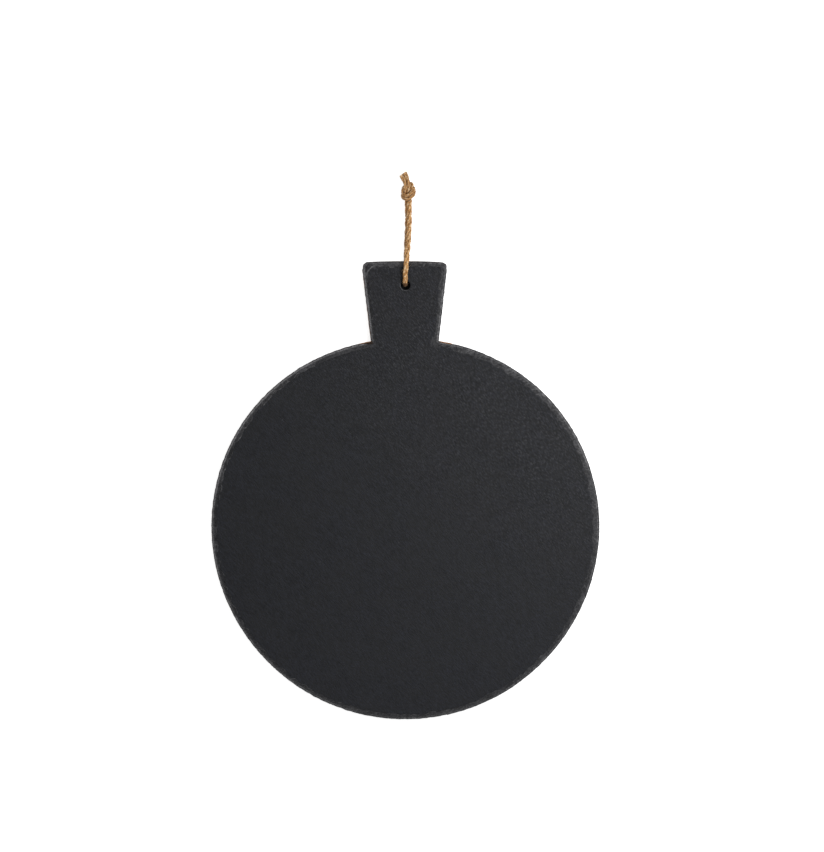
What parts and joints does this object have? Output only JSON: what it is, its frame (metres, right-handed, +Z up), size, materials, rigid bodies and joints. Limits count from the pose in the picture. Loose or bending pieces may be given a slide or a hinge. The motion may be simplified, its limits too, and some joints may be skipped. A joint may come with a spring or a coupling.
{
  "type": "serving board",
  "caption": "Round slate serving board with a flared handle, chipped edges, low rubber feet and a knotted jute twine loop through a hole in the handle.",
  "frame": {"origin": "on the surface that the feet stand on, below the middle of the slate's outline from the blade's lower rim to the handle's top", "axes": "+Y from the blade along the handle to the twine loop, +Z up out of the serving face, +X to the right as seen from above with the handle pointing away"},
  "size_m": [0.3002, 0.4234, 0.0177],
  "materials": {
    "slate": "matte",
    "rubber_feet": "matte",
    "jute_twine": "matte"
  },
  "bodies": {
    "board": {"slate_board": "slate", "foot_upper_left": "rubber_feet", "foot_upper_right": "rubber_feet", "foot_lower_left": "rubber_feet", "foot_lower_right": "rubber_feet"},
    "twine_loop": {"cord_front": "jute_twine", "cord_back": "jute_twine", "cord_knot": "jute_twine", "cord_ends": "jute_twine"}
  },
  "joints": [
    {"name": "loop_swing", "type": "hinge", "parent": "board", "child": "twine_loop", "pos_m": [-0.0003, 0.15926, 0.009], "axis": [0, 0, 1], "range_deg": [-40, 40]}
  ]
}
